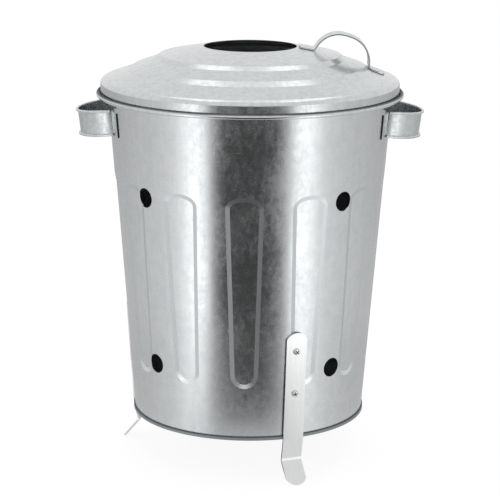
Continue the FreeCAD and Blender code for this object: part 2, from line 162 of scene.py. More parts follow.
def galvanised_sheet(name, bright, dull, gloss, dullest, cloud_mm, streak_mm, dent_mm):
    """Zinc skin: clouds and streaks in the gloss, a trace of them in the colour, and shallow dents."""
    material = new_material(name)
    tree = material.node_tree
    place = add_node(tree, "ShaderNodeTexCoord").outputs["Object"]
    upright = add_node(tree, "ShaderNodeMapping", values={"Scale": STREAK_STRETCH}, links={"Vector": place})
    streaks = add_node(tree, "ShaderNodeTexNoise", links={"Vector": upright.outputs["Vector"]},
                       values={"Scale": per_metre(streak_mm), "Detail": 3})
    clouds = add_node(tree, "ShaderNodeTexNoise", links={"Vector": place},
                      values={"Scale": per_metre(cloud_mm), "Detail": 5, "Roughness": 0.6})
    skin = add_node(tree, "ShaderNodeMix", data_type="FLOAT", values={"Factor": STREAK_SHARE},
                    links={"A": clouds.outputs["Fac"], "B": streaks.outputs["Fac"]})
    patch = add_node(tree, "ShaderNodeMapRange", interpolation_type="SMOOTHSTEP",
                     links={"Value": skin.outputs["Result"]},
                     values={"From Min": PATCH_START, "From Max": PATCH_FULL})
    colour = add_node(tree, "ShaderNodeMix", data_type="RGBA", links={"Factor": patch.outputs["Result"]},
                      values={"A": linear(bright), "B": linear(dull)})
    rough = add_node(tree, "ShaderNodeMapRange", links={"Value": patch.outputs["Result"]},
                     values={"To Min": gloss, "To Max": dullest})
    dents = add_node(tree, "ShaderNodeTexNoise", links={"Vector": place},
                     values={"Scale": per_metre(dent_mm), "Detail": 2})
    uneven = add_node(tree, "ShaderNodeBump", links={"Height": dents.outputs["Fac"]},
                      values={"Strength": DENT_STRENGTH, "Distance": DENT_DEPTH})
    shader = add_node(tree, "ShaderNodeBsdfPrincipled", values={"Metallic": 1.0},
                      links={"Base Color": colour.outputs["Result"], "Roughness": rough.outputs["Result"],
                             "Normal": uneven.outputs["Normal"]})
    add_node(tree, "ShaderNodeOutputMaterial", links={"Surface": shader.outputs["BSDF"]})
    return material, shader, colour, rough, uneven


# Wall and base: a cool grey mirror, softened in clouds of about a centimetre.
wall_zinc, wall_shader, wall_colour, wall_rough, wall_uneven = galvanised_sheet(
    "hot_dip_galvanised_wall", "#D2D4D5", "#CBCED0", 0.13, 0.20, cloud_mm=12, streak_mm=6, dent_mm=70)
# Lid: duller, with a fine mottle, so that it reads as pale satin and only its steps shine.
lid_zinc, lid_shader, lid_colour, lid_rough, _ = galvanised_sheet(
    "hot_dip_galvanised_lid", "#D5D7D8", "#C9CDCE", 0.17, 0.26, cloud_mm=5, streak_mm=9, dent_mm=60)
# Handles: worked hardest, so they are the greyest and the most uneven.
handle_zinc, handle_shader, handle_colour, handle_rough, _ = galvanised_sheet(
    "hot_dip_galvanised_handle", "#D0D3D4", "#BFC3C4", 0.20, 0.34, cloud_mm=6, streak_mm=5, dent_mm=30)
print("sheets:", [sheet.name for sheet in (wall_zinc, lid_zinc, handle_zinc)])

# %% [markdown]
# ## Rubbed zinc
# The wall was rolled, pressed and stacked, and where it was rubbed the zinc is hazed in soft clouds with
# a few level scuffs. They hardly show on the pale sides, but in the dark reflection down the front they
# scatter light into it. One could raise the roughness all over, but then the reflection would only
# blur. So a fine pattern makes the clouds, and a second one, ten times larger, decides how much each
# part of the wall was rubbed.

# %% Hazed clouds
HAZE_MM = 6
HAZE_STRETCH = (1, 1, 0.6)          # a little taller than wide
AREA_MM = 60
AREA_DRAW = 5.0                     # picks one of the many patterns that the noise can give
AREA_SHARE = 0.40
HAZE_START = 0.38
HAZE_FULL = 0.70
wall_tree = wall_zinc.node_tree
wall_coords = add_node(wall_tree, "ShaderNodeTexCoord")
wall_place = wall_coords.outputs["Object"]
tall = add_node(wall_tree, "ShaderNodeMapping", values={"Scale": HAZE_STRETCH},
                links={"Vector": wall_place})
haze = add_node(wall_tree, "ShaderNodeTexNoise", links={"Vector": tall.outputs["Vector"]},
                values={"Scale": per_metre(HAZE_MM), "Detail": 6, "Roughness": 0.68})
area = add_node(wall_tree, "ShaderNodeTexNoise", noise_dimensions="4D", links={"Vector": wall_place},
                values={"Scale": per_metre(AREA_MM), "Detail": 1, "W": AREA_DRAW})
rubbed = add_node(wall_tree, "ShaderNodeMix", data_type="FLOAT", values={"Factor": AREA_SHARE},
                  links={"A": haze.outputs["Fac"], "B": area.outputs["Fac"]})
clouded = add_node(wall_tree, "ShaderNodeMapRange", links={"Value": rubbed.outputs["Result"]},
                   values={"From Min": HAZE_START, "From Max": HAZE_FULL})
print("haze in mm:", HAZE_MM, "in areas of", AREA_MM)

# %% Level scuffs
HAZE_ROUGHNESS = 0.36
SCUFF_MM = 3
SCUFF_STRETCH = (0.04, 0.04, 1)     # level, 25 times as long as thick
SCUFF_START = 0.66
SCUFF_FULL = 0.76
SCUFF_STRENGTH = 0.6
level = add_node(wall_tree, "ShaderNodeMapping", values={"Scale": SCUFF_STRETCH},
                 links={"Vector": wall_place})
lines = add_node(wall_tree, "ShaderNodeTexNoise", links={"Vector": level.outputs["Vector"]},
                 values={"Scale": per_metre(SCUFF_MM), "Detail": 2})
scuffed = add_node(wall_tree, "ShaderNodeMapRange", links={"Value": lines.outputs["Fac"]},
                   values={"From Min": SCUFF_START, "From Max": SCUFF_FULL, "To Max": SCUFF_STRENGTH})
worn = add_node(wall_tree, "ShaderNodeMath", operation="MAXIMUM",
                links={0: clouded.outputs["Result"], 1: scuffed.outputs["Result"]})
hazed = add_node(wall_tree, "ShaderNodeMix", data_type="FLOAT", values={"B": HAZE_ROUGHNESS},
                 links={"Factor": worn.outputs["Value"], "A": wall_rough.outputs["Result"]})
print("hazed zinc: roughness up to", HAZE_ROUGHNESS)

# %% [markdown]
# ## Drawn zinc
# Round the flutes the sheet was drawn over the edge of the press tool, and the zinc lost some of its
# shine. On the real bin the left border of a flute reads as a light satin line, the right border is
# dimmer and the upper end hardly shows. The lower end faces up and catches the light, and here that is
# a painted highlight: a brighter colour. A second material on hand-picked faces would do it. A mask does
# it without touching the CAD mesh: it measures how far the surface turns sideways and tips up or down
# from the plain cone of the wall.

# %% Turn and tip from the plain wall
WALL_LEAN = 4.41
lean = math.radians(WALL_LEAN)
flat_place = add_node(wall_tree, "ShaderNodeVectorMath", operation="MULTIPLY", values={1: (1, 1, 0)},
                      links={0: wall_place})
outward = add_node(wall_tree, "ShaderNodeVectorMath", operation="NORMALIZE",
                   links={0: flat_place.outputs["Vector"]})
sideways = add_node(wall_tree, "ShaderNodeVectorMath", operation="CROSS_PRODUCT", values={1: (0, 0, 1)},
                    links={0: outward.outputs["Vector"]})
turned = add_node(wall_tree, "ShaderNodeVectorMath", operation="DOT_PRODUCT",
                  links={0: sideways.outputs["Vector"], 1: wall_coords.outputs["Normal"]})
upwards = add_node(wall_tree, "ShaderNodeVectorMath", operation="MULTIPLY_ADD",
                   links={0: outward.outputs["Vector"]},
                   values={1: [math.sin(lean)] * 3, 2: (0, 0, math.cos(lean))})
tipped = add_node(wall_tree, "ShaderNodeVectorMath", operation="DOT_PRODUCT",
                  links={0: upwards.outputs["Vector"], 1: wall_coords.outputs["Normal"]})
print("wall lean in degrees:", WALL_LEAN)

# %% Gloss of the borders
RIGHT_DRAWN = 0.52                  # roughness of a border that faces right, as seen from outside
LEFT_DRAWN = 0.35
UP_DRAWN = 0.18
DOWN_DRAWN = 0.27
FULL_TURN = 9.0
TIP_START = 0.3                     # parts of the full turn between which the tip takes over
TIP_FULL = 1.6
full = math.sin(math.radians(FULL_TURN))
sides = add_node(wall_tree, "ShaderNodeMapRange", links={"Value": turned.outputs["Value"]},
                 values={"From Min": -full, "From Max": full, "To Min": RIGHT_DRAWN, "To Max": LEFT_DRAWN})
to_up = add_node(wall_tree, "ShaderNodeMapRange", links={"Value": tipped.outputs["Value"]},
                 values={"From Min": TIP_START * full, "From Max": TIP_FULL * full})
with_up = add_node(wall_tree, "ShaderNodeMix", data_type="FLOAT", values={"B": UP_DRAWN},
                   links={"Factor": to_up.outputs["Result"], "A": sides.outputs["Result"]})
to_down = add_node(wall_tree, "ShaderNodeMapRange", links={"Value": tipped.outputs["Value"]},
                   values={"From Min": -TIP_START * full, "From Max": -TIP_FULL * full})
border_rough = add_node(wall_tree, "ShaderNodeMix", data_type="FLOAT", values={"B": DOWN_DRAWN},
                        links={"Factor": to_down.outputs["Result"], "A": with_up.outputs["Result"]})
print("borders: roughness from", UP_DRAWN, "to", RIGHT_DRAWN)

# %% Dull the borders of the flutes
# Painted highlight: the lower end of each flute faces up and is painted a brighter colour.
DRAWN_GREY = "#C4C8CA"
PAINTED_LIGHT = "#E8EAEB"
PLAIN_TURN = 3.0
slope = add_node(wall_tree, "ShaderNodeCombineXYZ",
                 links={"X": turned.outputs["Value"], "Y": tipped.outputs["Value"]})
amount = add_node(wall_tree, "ShaderNodeVectorMath", operation="LENGTH",
                  links={0: slope.outputs["Vector"]})
drawn = add_node(wall_tree, "ShaderNodeMapRange", links={"Value": amount.outputs["Value"]},
                 values={"From Min": math.sin(math.radians(PLAIN_TURN)), "From Max": full})
drawn_rough = add_node(wall_tree, "ShaderNodeMix", data_type="FLOAT",
                       links={"Factor": drawn.outputs["Result"], "A": hazed.outputs["Result"],
                              "B": border_rough.outputs["Result"]})
border_colour = add_node(wall_tree, "ShaderNodeMix", data_type="RGBA",
                         links={"Factor": to_up.outputs["Result"]},
                         values={"A": linear(DRAWN_GREY), "B": linear(PAINTED_LIGHT)})
drawn_and_highlight_colour = add_node(wall_tree, "ShaderNodeMix", data_type="RGBA",
                        links={"Factor": drawn.outputs["Result"], "A": wall_colour.outputs["Result"],
                               "B": border_colour.outputs["Result"]})
print("a border starts at a turn of", PLAIN_TURN, "degrees and is full at", FULL_TURN)

# %% [markdown]
# ## True round of the wall
# The wall is a mesh of flat triangles, and the shading between their corners is only nearly round,
# which shows in a mirror as kinks beside the flutes. More triangles would help, but the CAD mesh stays
# as it is. The plain wall is a cone, so its true direction is known at every point: out from the axis
# and a little down. It takes the place of the mesh's own direction wherever a triangle lies within a
# few degrees of that cone.

# %% Cone direction on the plain wall
CONE_SURE = 6.0
CONE_LIMIT = 8.0
cone = add_node(wall_tree, "ShaderNodeVectorMath", operation="MULTIPLY_ADD",
                links={0: outward.outputs["Vector"]},
                values={1: [math.cos(lean)] * 3, 2: (0, 0, -math.sin(lean))})
direction = add_node(wall_tree, "ShaderNodeVectorTransform", vector_type="NORMAL", convert_from="OBJECT",
                     convert_to="WORLD", links={"Vector": cone.outputs["Vector"]})
triangle = add_node(wall_tree, "ShaderNodeNewGeometry")
close = add_node(wall_tree, "ShaderNodeVectorMath", operation="DOT_PRODUCT",
                 links={0: direction.outputs["Vector"], 1: triangle.outputs["True Normal"]})
plain = add_node(wall_tree, "ShaderNodeMapRange", links={"Value": close.outputs["Value"]},
                 values={"From Min": math.cos(math.radians(CONE_LIMIT)),
                         "From Max": math.cos(math.radians(CONE_SURE))})
smooth = add_node(wall_tree, "ShaderNodeMix", data_type="VECTOR",
                  links={"Factor": plain.outputs["Result"], "A": triangle.outputs["Normal"],
                         "B": direction.outputs["Vector"]})
wall_tree.links.new(smooth.outputs["Result"], wall_uneven.inputs["Normal"])
print("true cone up to", CONE_LIMIT, "degrees from it")

# %% [markdown]
# ## Inside of the wall
# The inner skin is rougher than the outside, and its colour is darkened as painted shade: little light
# gets in and each bounce loses some, so seen through the air holes it is nearly black. A second material
# would need faces of its own, so a mask tells the faces that look towards the axis apart, by the same
# direction as before, only reversed. In a band under the rim the inside is painted lighter instead: a
# painted pool of light.

# %% Dull the inside
# Painted shade on the inside, and painted light in a band under the rim.
INSIDE_SHADE = "#979B9D"
INSIDE_ROUGHNESS = 0.50
INWARD_SURE = -0.6
INWARD_LIMIT = -0.3
RIM_LIGHT_START = 90 * MM
RIM_LIGHT_FULL = 40 * MM
rim_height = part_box("body_shell")[1].z
inward = add_node(wall_tree, "ShaderNodeMapRange", links={"Value": close.outputs["Value"]},
                  values={"From Min": INWARD_SURE, "From Max": INWARD_LIMIT, "To Min": 1.0, "To Max": 0.0})
skin_rough = add_node(wall_tree, "ShaderNodeMix", data_type="FLOAT", values={"B": INSIDE_ROUGHNESS},
                      links={"Factor": inward.outputs["Result"], "A": drawn_rough.outputs["Result"]})
wall_axes = add_node(wall_tree, "ShaderNodeSeparateXYZ", links={"Vector": wall_place})
rim_light = add_node(wall_tree, "ShaderNodeMapRange", links={"Value": wall_axes.outputs["Z"]},
                    values={"From Min": rim_height - RIM_LIGHT_START, "From Max": rim_height - RIM_LIGHT_FULL})
inside_shade_and_light = add_node(wall_tree, "ShaderNodeMix", data_type="RGBA",
                         links={"Factor": rim_light.outputs["Result"]},
                         values={"A": linear(INSIDE_SHADE), "B": linear(PAINTED_LIGHT)})
skin_colour = add_node(wall_tree, "ShaderNodeMix", data_type="RGBA",
                       links={"Factor": inward.outputs["Result"], "A": drawn_and_highlight_colour.outputs["Result"],
                              "B": inside_shade_and_light.outputs["Result"]})
print("dull inside: roughness", INSIDE_ROUGHNESS, "below a rim at", round(rim_height / MM, 1), "mm")

# %% [markdown]
# ## Crease of the base seam
# The base is folded up over the hem of the wall. Shade falls in the crease above the fold and on the
# fold, which faces down, and on the real bin that is the dark line round the bottom. It could be a groove
# in the mesh, but bands by height are enough: the fold is painted a matt grey as painted shade, the
# crease is painted the darkest, and within two millimetres above it the wall is bright again.

# %% Darken the crease
FOLD_HEIGHT = 3.4 * MM
CREASE_REACH = 2.0 * MM
CREASE_CORE = 0.3                   # part of the reach, up and down, that belongs to the crease itself
CREASE_FOOT = 0.1                   # part of the reach, below the crease, where it is darkest
# Painted shade in the crease and on the fold.
CREASE_SHADE = "#74787A"
FOLD_SHADE = "#979B9D"
CREASE_ROUGHNESS = 0.6
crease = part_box("base_pan")[0].z + FOLD_HEIGHT
crease_shade_mask = add_node(wall_tree, "ShaderNodeMapRange", links={"Value": wall_axes.outputs["Z"]},
                  values={"From Min": crease + CREASE_CORE * CREASE_REACH,
                          "From Max": crease + CREASE_REACH, "To Min": 1.0, "To Max": 0.0})
over_fold = add_node(wall_tree, "ShaderNodeMapRange", links={"Value": wall_axes.outputs["Z"]},
                     values={"From Min": crease - CREASE_CORE * CREASE_REACH,
                             "From Max": crease - CREASE_FOOT * CREASE_REACH})
fold_and_crease_shade = add_node(wall_tree, "ShaderNodeMix", data_type="RGBA",
                   links={"Factor": over_fold.outputs["Result"]},
                   values={"A": linear(FOLD_SHADE), "B": linear(CREASE_SHADE)})
crease_rough = add_node(wall_tree, "ShaderNodeMix", data_type="FLOAT", values={"B": CREASE_ROUGHNESS},
                      links={"Factor": crease_shade_mask.outputs["Result"], "A": skin_rough.outputs["Result"]})
crease_shade_colour = add_node(wall_tree, "ShaderNodeMix", data_type="RGBA",
                       links={"Factor": crease_shade_mask.outputs["Result"], "A": skin_colour.outputs["Result"],
                              "B": fold_and_crease_shade.outputs["Result"]})
wall_tree.links.new(crease_rough.outputs["Result"], wall_shader.inputs["Roughness"])
wall_tree.links.new(crease_shade_colour.outputs["Result"], wall_shader.inputs["Base Color"])
print("crease in mm:", round(crease / MM, 2))

# %% [markdown]
# ## Dark inside of the lid's roll
# The lid's edge is rolled round a wire and stays open by a hair. Shade falls in that slit and over the
# upper part of the bead, and it is painted in as a dark colour, so a dark line runs above the bright
# lower part. A separate mesh could fill the slit. A mask is enough: it goes by the distance from the ring
# through the middle of the roll, which is measured from the wire itself, and by the height above that ring.

# %% Ring of the roll
wire_low, wire_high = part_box("lid_rim_wire")
wire_radius = (wire_high.z - wire_low.z) / 2
ring_radius = wire_high.x - wire_radius
ring_height = (wire_high.z + wire_low.z) / 2
lid_tree = lid_zinc.node_tree
lid_place = add_node(lid_tree, "ShaderNodeTexCoord").outputs["Object"]
lid_axes = add_node(lid_tree, "ShaderNodeSeparateXYZ", links={"Vector": lid_place})
lid_flat = add_node(lid_tree, "ShaderNodeVectorMath", operation="MULTIPLY", values={1: (1, 1, 0)},
                    links={0: lid_place})
lid_out = add_node(lid_tree, "ShaderNodeVectorMath", operation="LENGTH",
                   links={0: lid_flat.outputs["Vector"]})
beside = add_node(lid_tree, "ShaderNodeMath", operation="SUBTRACT", values={1: ring_radius},
                  links={0: lid_out.outputs["Value"]})
above = add_node(lid_tree, "ShaderNodeMath", operation="SUBTRACT", values={1: ring_height},
                 links={0: lid_axes.outputs["Z"]})
offset = add_node(lid_tree, "ShaderNodeCombineXYZ",
                  links={"X": beside.outputs["Value"], "Y": above.outputs["Value"]})
from_ring = add_node(lid_tree, "ShaderNodeVectorMath", operation="LENGTH",
                     links={0: offset.outputs["Vector"]})
print("ring of the roll in mm:", round(ring_radius / MM, 2), round(ring_height / MM, 2))

# %% Darken the roll
# Painted shade in the slit and on the upper part of the bead.
ROLL_SHADE = "#2C2E2F"
ROLL_ROUGHNESS = 0.7
WIRE_GAP = 0.3 * MM
SHEET = 0.7 * MM
SLIT_DARK = 0.2                     # parts of the sheet's thickness
SLIT_END = 0.7
CREST_START = 0.35                  # parts of the bead's radius
CREST_FULL = 0.8
CREST_SHADE = 0.8                    # how much of the dark the crest gets
BEAD_SURE = 1.05
BEAD_END = 1.25
inner = wire_radius + WIRE_GAP
bead = inner + SHEET
slit = add_node(lid_tree, "ShaderNodeMapRange", links={"Value": from_ring.outputs["Value"]},
                values={"From Min": inner + SLIT_DARK * SHEET, "From Max": inner + SLIT_END * SHEET,
                        "To Min": 1.0, "To Max": 0.0})
upper = add_node(lid_tree, "ShaderNodeMapRange", links={"Value": above.outputs["Value"]},
                 values={"From Min": CREST_START * bead, "From Max": CREST_FULL * bead,
                         "To Max": CREST_SHADE})
around = add_node(lid_tree, "ShaderNodeMapRange", links={"Value": from_ring.outputs["Value"]},
                  values={"From Min": BEAD_SURE * bead, "From Max": BEAD_END * bead,
                          "To Min": 1.0, "To Max": 0.0})
crest = add_node(lid_tree, "ShaderNodeMath", operation="MULTIPLY",
                 links={0: upper.outputs["Result"], 1: around.outputs["Result"]})
roll_shade = add_node(lid_tree, "ShaderNodeMath", operation="MAXIMUM",
                 links={0: slit.outputs["Result"], 1: crest.outputs["Value"]})
roll_shade_colour = add_node(lid_tree, "ShaderNodeMix", data_type="RGBA", values={"B": linear(ROLL_SHADE)},
                       links={"Factor": roll_shade.outputs["Value"], "A": lid_colour.outputs["Result"]})
roll_rough = add_node(lid_tree, "ShaderNodeMix", data_type="FLOAT", values={"B": ROLL_ROUGHNESS},
                      links={"Factor": roll_shade.outputs["Value"], "A": lid_rough.outputs["Result"]})
lid_tree.links.new(roll_shade_colour.outputs["Result"], lid_shader.inputs["Base Color"])
lid_tree.links.new(roll_rough.outputs["Result"], lid_shader.inputs["Roughness"])
print("bead in mm:", round(2 * bead / MM, 2))

# %% [markdown]
# ## Shaded ends of the handles
# The handles are blanked from coated sheet, and the tab at each end stands off the wall by a hair, so
# shade falls in the slit under its cut end. That is painted in as a dark band, which frames each tab
# with a black line. Separate strips could be laid there, but a band at the ends of the handle, measured
# from its own box, is enough.

# %% Darken the ends of the tabs
# Painted shade at the ends of the tabs.
END_REACH = 2.8 * MM
END_CORE = 0.7                      # part of the reach that is fully dark
END_SHADE = "#2A2C2D"
END_ROUGHNESS = 0.6
tab_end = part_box("left_handle")[1].y
handle_tree = handle_zinc.node_tree
handle_place = add_node(handle_tree, "ShaderNodeTexCoord").outputs["Object"]
handle_axes = add_node(handle_tree, "ShaderNodeSeparateXYZ", links={"Vector": handle_place})
along_wall = add_node(handle_tree, "ShaderNodeMath", operation="ABSOLUTE",
                      links={0: handle_axes.outputs["Y"]})
tab_end_shade = add_node(handle_tree, "ShaderNodeMapRange", links={"Value": along_wall.outputs["Value"]},
                 values={"From Min": tab_end - END_REACH, "From Max": tab_end - END_CORE * END_REACH})
end_shade_colour = add_node(handle_tree, "ShaderNodeMix", data_type="RGBA", values={"B": linear(END_SHADE)},
                      links={"Factor": tab_end_shade.outputs["Result"], "A": handle_colour.outputs["Result"]})
end_rough = add_node(handle_tree, "ShaderNodeMix", data_type="FLOAT", values={"B": END_ROUGHNESS},
                     links={"Factor": tab_end_shade.outputs["Result"], "A": handle_rough.outputs["Result"]})
handle_tree.links.new(end_shade_colour.outputs["Result"], handle_shader.inputs["Base Color"])
handle_tree.links.new(end_rough.outputs["Result"], handle_shader.inputs["Roughness"])
print("tabs end in mm:", round(tab_end / MM, 2))

# %% [markdown]
# ## Electroplated zinc
# The legs, screws and nuts were plated in a bath after they were cut, so their skin is thin, bright and
# even, with the faint grain of the rolled strap under it. Brushed metal is often drawn with an
# anisotropic shader. Here the grain is too faint for that, and a fine noise drawn out along the strap
# is enough.

# %% Electroplated zinc
GRAIN_STRETCH = (1, 1, 0.1)         # along the strap, ten times as long as wide


def zinc_plate(name, bright, dull, gloss, dullest, grain_mm):
    """Even plate with faint rolling grain along the strap."""
    material = new_material(name)
    tree = material.node_tree
    place = add_node(tree, "ShaderNodeTexCoord").outputs["Object"]
    along = add_node(tree, "ShaderNodeMapping", values={"Scale": GRAIN_STRETCH}, links={"Vector": place})
    grain = add_node(tree, "ShaderNodeTexNoise", links={"Vector": along.outputs["Vector"]},
                     values={"Scale": per_metre(grain_mm), "Detail": 4})
    colour = add_node(tree, "ShaderNodeMix", data_type="RGBA", links={"Factor": grain.outputs["Fac"]},
                      values={"A": linear(bright), "B": linear(dull)})
    rough = add_node(tree, "ShaderNodeMapRange", links={"Value": grain.outputs["Fac"]},
                     values={"To Min": gloss, "To Max": dullest})
    shader = add_node(tree, "ShaderNodeBsdfPrincipled", values={"Metallic": 1.0},
                      links={"Base Color": colour.outputs["Result"], "Roughness": rough.outputs["Result"]})
    add_node(tree, "ShaderNodeOutputMaterial", links={"Surface": shader.outputs["BSDF"]})
    return material, shader, colour


# Straps: the brightest metal on the bin, nearly white beside the wall.
strap_zinc, strap_shader, strap_colour = zinc_plate(
    "bright_zinc_plated_strap", "#E0E2E2", "#D5D7D7", 0.18, 0.26, grain_mm=2.5)
# Screws and nuts: a shade greyer, with small highlights on the round of the head.
screw_zinc, _, _ = zinc_plate("bright_zinc_plated_screw", "#DCDEDE", "#C8CBCC", 0.18, 0.30, grain_mm=1.5)
# Recess of the screws: painted shade, so that the shaded cross reads as a dark mark.
recess_shade, _, _ = zinc_plate("painted_shade_in_the_recess", "#3A3D3E", "#242627", 0.55, 0.70, grain_mm=1.0)
# Wires in the rolled edges: old dull zinc, which only deepens the shade in the slits.
wire_zinc, _, _ = zinc_plate("dull_galvanised_wire", "#6E7274", "#54585A", 0.50, 0.65, grain_mm=2.0)
print("plates:", [plate.name for plate in (strap_zinc, screw_zinc, recess_shade, wire_zinc)])

# %% [markdown]
# ## Knee of the legs
# Each leg is bent outwards into a foot over the edge of a tool, and the crook of the bend catches a thin
# white line of light. It is painted in as a painted highlight, a band of near-white colour. A strip of
# another material would need faces of its own. All three legs bend at the same height, where the strap
# comes nearest to the axis of the bin, so a narrow band by height does it.

# %% Bright line at the knee
# Painted highlight: a near-white band at the knee.
KNEE_LINE = 2.2 * MM
KNEE_CORE = 0.4                     # part of the line, up and down, that is fully bright
KNEE_HIGHLIGHT = "#FCFCFC"
leg_corners = [vertex.co for vertex in nodes["front_leg"].data.vertices]
knee = min(leg_corners, key=lambda corner: corner.xy.length).z
strap_tree = strap_zinc.node_tree
strap_place = add_node(strap_tree, "ShaderNodeTexCoord").outputs["Object"]
strap_axes = add_node(strap_tree, "ShaderNodeSeparateXYZ", links={"Vector": strap_place})
from_knee = add_node(strap_tree, "ShaderNodeMath", operation="SUBTRACT", values={1: knee},
                     links={0: strap_axes.outputs["Z"]})
knee_gap = add_node(strap_tree, "ShaderNodeMath", operation="ABSOLUTE",
                    links={0: from_knee.outputs["Value"]})
knee_highlight = add_node(strap_tree, "ShaderNodeMapRange", links={"Value": knee_gap.outputs["Value"]},
                     values={"From Min": KNEE_CORE * KNEE_LINE, "From Max": KNEE_LINE,
                             "To Min": 1.0, "To Max": 0.0})
knee_highlight_colour = add_node(strap_tree, "ShaderNodeMix", data_type="RGBA", values={"B": linear(KNEE_HIGHLIGHT)},
                       links={"Factor": knee_highlight.outputs["Result"], "A": strap_colour.outputs["Result"]})
strap_tree.links.new(knee_highlight_colour.outputs["Result"], strap_shader.inputs["Base Color"])
print("knee in mm:", round(knee / MM, 1))

# %% [markdown]
# ## Finish of each piece
# The record that comes with the CAD model names a material slot for each node. Materials could be given
# piece by piece, but the slots already say which pieces were made alike, so the finishes follow them.

# %% Finish of each CAD node
finishes = {"galvanised_wall": wall_zinc, "galvanised_lid": lid_zinc, "galvanised_handle": handle_zinc,
            "galvanised_wire": wire_zinc, "zinc_plated_strap": strap_zinc,
            "zinc_plated_fastener": screw_zinc}
slots = {part["node"]: part["material_slot"] for part in frame["record"]["subparts"]}
for node_name, slot in slots.items():
    nodes[node_name].data.materials.clear()
    nodes[node_name].data.materials.append(finishes[slot])
print("finished nodes:", len(slots))

# %% [markdown]
# ## Straps
# The legs and the lid's grip are cut from flat strap whose edges are rolled a little round, which catches
# a thin line of light. The CAD pieces have sharp edges. One could fillet them there, but the bends and
# the holes make that slow, so a copy of each mesh is merged, its flat faces are made whole, and a bevel
# rounds the sharp edges.

# %% Helpers for pieces
def only(piece):
    """Make a piece the one selected, active object."""
    bpy.ops.object.select_all(action="DESELECT")
    piece.select_set(True)
    bpy.context.view_layer.objects.active = piece


def stands_for(piece, node_name):
    """Ride a finished piece on the body of the CAD node that it replaces, and hide that node."""
    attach(piece, nodes[node_name]["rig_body"])
    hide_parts(node_name)


# %% Rounded straps
STRAP_EDGE = 0.4 * MM
EDGE_STEPS = 3
MERGE = 0.01 * MM
FLAT = math.radians(1)
SHARP = math.radians(50)


def rounded_strap(node_name):
    """Copy of a strap with its cut edges rounded."""
    piece = bpy.data.objects.new(node_name + "_strap", nodes[node_name].data.copy())
    bpy.context.scene.collection.objects.link(piece)
    only(piece)
    bpy.ops.mesh.customdata_custom_splitnormals_clear()
    bpy.ops.object.mode_set(mode="EDIT")
    bpy.ops.mesh.select_all(action="SELECT")
    bpy.ops.mesh.remove_doubles(threshold=MERGE)
    bpy.ops.mesh.dissolve_limited(angle_limit=FLAT)
    bpy.ops.object.mode_set(mode="OBJECT")
    bevel = piece.modifiers.new("rolled_edge", "BEVEL")
    bevel.width = STRAP_EDGE
    bevel.segments = EDGE_STEPS
    bevel.limit_method = "ANGLE"
    bevel.angle_limit = SHARP
    bevel.harden_normals = True
    bpy.ops.object.shade_smooth_by_angle(angle=SHARP)
    bpy.ops.object.modifier_apply(modifier=bevel.name)
    stands_for(piece, node_name)
    return piece


straps = [rounded_strap(name) for name in ("front_leg", "left_leg", "right_leg", "lid_handle")]
print("rounded straps:", [(piece.name, len(piece.data.polygons)) for piece in straps])

# %% [markdown]
# ## Leg screws
# Two pan-head screws with a cross recess hold each leg. The CAD screw is a plain turned shape. A head
# could be spun from its profile, but the cross would still have to be cut. Here one screw is modelled
# as by hand, from a cylinder: its upper edge is bevelled round, two bars cut the cross, and the shank
# is joined on.

# %% Bars and cuts
HEAD_HEIGHT = 2.4 * MM
RECESS = Vector((5.0, 1.2, 3.4)) * MM       # one bar of the cross: length, width and twice its depth
SIDES = 48


def pick(piece, wanted):
    """Select the vertices that pass a test, with the edges and faces between them, in edit mode."""
    only(piece)
    bpy.ops.object.mode_set(mode="EDIT")
    bpy.ops.mesh.select_mode(type="VERT")
    bpy.ops.mesh.select_all(action="DESELECT")
    bpy.ops.object.mode_set(mode="OBJECT")
    for vertex in piece.data.vertices:
        vertex.select = wanted(vertex.co)
    bpy.ops.object.mode_set(mode="EDIT")


def turned_bar(diameter, low, high):
    """Round bar along Z between two heights."""
    bpy.ops.object.select_all(action="DESELECT")
    bpy.ops.mesh.primitive_cylinder_add(vertices=SIDES, radius=diameter / 2, depth=high - low,
                                        location=(0, 0, (low + high) / 2))
    bpy.ops.object.transform_apply()
    return bpy.context.object


def cut_bar(piece, turn):
    """Cut one bar of the cross recess into the top of the head."""
    bpy.ops.object.select_all(action="DESELECT")
    bpy.ops.mesh.primitive_cube_add(size=1, location=(0, 0, HEAD_HEIGHT), rotation=(0, 0, turn),
                                    scale=RECESS)
    bar = bpy.context.object
    only(piece)
    cut = piece.modifiers.new("recess", "BOOLEAN")
    cut.operation = "DIFFERENCE"
    cut.object = bar
    bpy.ops.object.modifier_apply(modifier=cut.name)
    bpy.data.objects.remove(bar)


print("cross recess in mm:", [round(side / MM, 1) for side in RECESS])

# %% Pan-head screw
HEAD_DIAMETER = 8.0 * MM
HEAD_ROUND = 1.7 * MM
HEAD_STEPS = 6
SHANK_DIAMETER = 4.0 * MM
SHANK_CHAMFER = 0.5 * MM
recess_reach = RECESS.x / 2 + MERGE
recess_top = HEAD_HEIGHT - RECESS.z / 8     # within that reach, the top of the head lies above this


